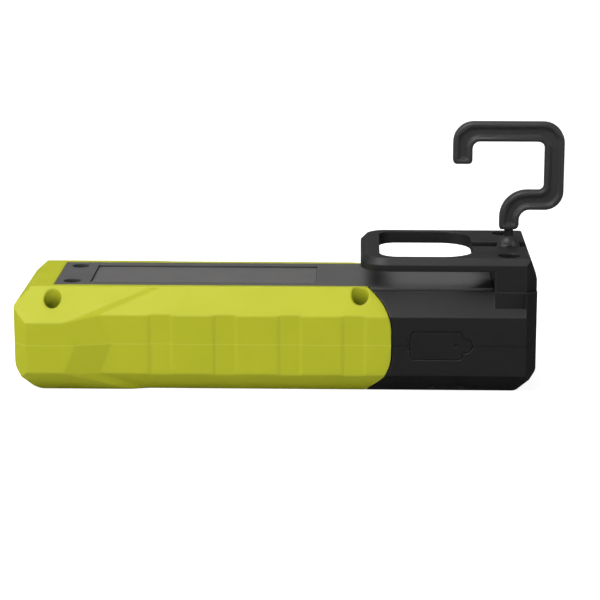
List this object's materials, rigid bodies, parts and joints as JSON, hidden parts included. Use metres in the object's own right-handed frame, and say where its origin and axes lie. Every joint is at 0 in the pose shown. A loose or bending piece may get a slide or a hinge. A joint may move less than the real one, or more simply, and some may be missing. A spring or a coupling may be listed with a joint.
{
  "type": "work light",
  "caption": "Rechargeable hand-held work light with an eight-sided lime grip, black head, carrying ring, front LED window, side charge port and swivelling S-shaped hook.",
  "frame": {"origin": "centre of the flat front face, which the light lies on", "axes": "+X towards the head with the hook, -X towards the tail of the grip, +Z out of the rear face, +Y across"},
  "size_m": [0.2058, 0.0688, 0.0985],
  "materials": {
    "lime_shell": "satin moulded",
    "black_shell": "fine moulded texture",
    "panel_black": "fine moulded texture",
    "label_grey": "smooth, blank",
    "hook_nylon": "satin moulded",
    "black_rubber": "matte",
    "screw_steel": "black oxide",
    "pin_steel": "machined",
    "clear_lens": "clear, polished",
    "bezel_black": "gloss",
    "reflector_white": "white, smooth",
    "phosphor": "silicone with phosphor",
    "board_green": "solder mask",
    "chip_black": "moulded",
    "sink_aluminium": "extruded",
    "cell_wrap": "shrink wrap over a can",
    "nickel": "nickel plated",
    "lead_red": "insulated wire"
  },
  "bodies": {
    "light_body": {"grip_front": "lime_shell", "grip_rear": "lime_shell", "front_housing": "black_shell", "rear_housing": "black_shell", "hook_bracket": "black_shell", "pivot_retainer": "black_shell", "rear_panel": "panel_black", "label_plate": "label_grey", "port_strap": "black_rubber", "lens_gasket": "black_rubber", "grip_screws": "screw_steel", "panel_screws": "screw_steel", "bracket_screws": "screw_steel", "led_screws": "screw_steel", "lens": "clear_lens", "charge_light_pipe": "clear_lens", "lens_bezel": "bezel_black", "reflector": "reflector_white", "cob_led": "phosphor", "led_board": "board_green", "control_board": "board_green", "switch_board": "board_green", "board_parts": "chip_black", "tact_switch": "chip_black", "button_collar": "chip_black", "battery_tray": "chip_black", "heat_sink": "sink_aluminium", "battery_cells": "cell_wrap", "battery_contacts": "nickel", "usb_socket": "nickel", "battery_leads": "lead_red"},
    "knuckle": {"swivel_knuckle": "hook_nylon", "pivot_pins": "pin_steel", "friction_washers": "pin_steel"},
    "hook": {"hook_arm": "hook_nylon", "hook_shank": "pin_steel", "shank_screw": "pin_steel"},
    "button": {"power_button": "black_rubber"},
    "port_flap": {"port_cover": "black_rubber"}
  },
  "joints": [
    {"name": "hook_tilt", "type": "hinge", "parent": "light_body", "child": "knuckle", "pos_m": [0.0881, 0, 0.0496], "axis": [0, 1, 0], "range_deg": [-60, 90]},
    {"name": "hook_spin", "type": "hinge", "parent": "knuckle", "child": "hook", "pos_m": [0.0881, 0, 0.0496], "axis": [0, 0, 1], "continuous": true},
    {"name": "power_press", "type": "slide", "parent": "light_body", "child": "button", "axis": [0, 0, 1], "range_m": [0, 0.001], "stiffness_N_per_m": 1200, "springref_m": -0.0003},
    {"name": "port_cover_swing", "type": "hinge", "parent": "light_body", "child": "port_flap", "pos_m": [0.0503, -0.0309, 0.0191], "axis": [0, 0, -1], "range_deg": [0, 115], "stiffness_Nm_per_rad": 0.0003}
  ]
}
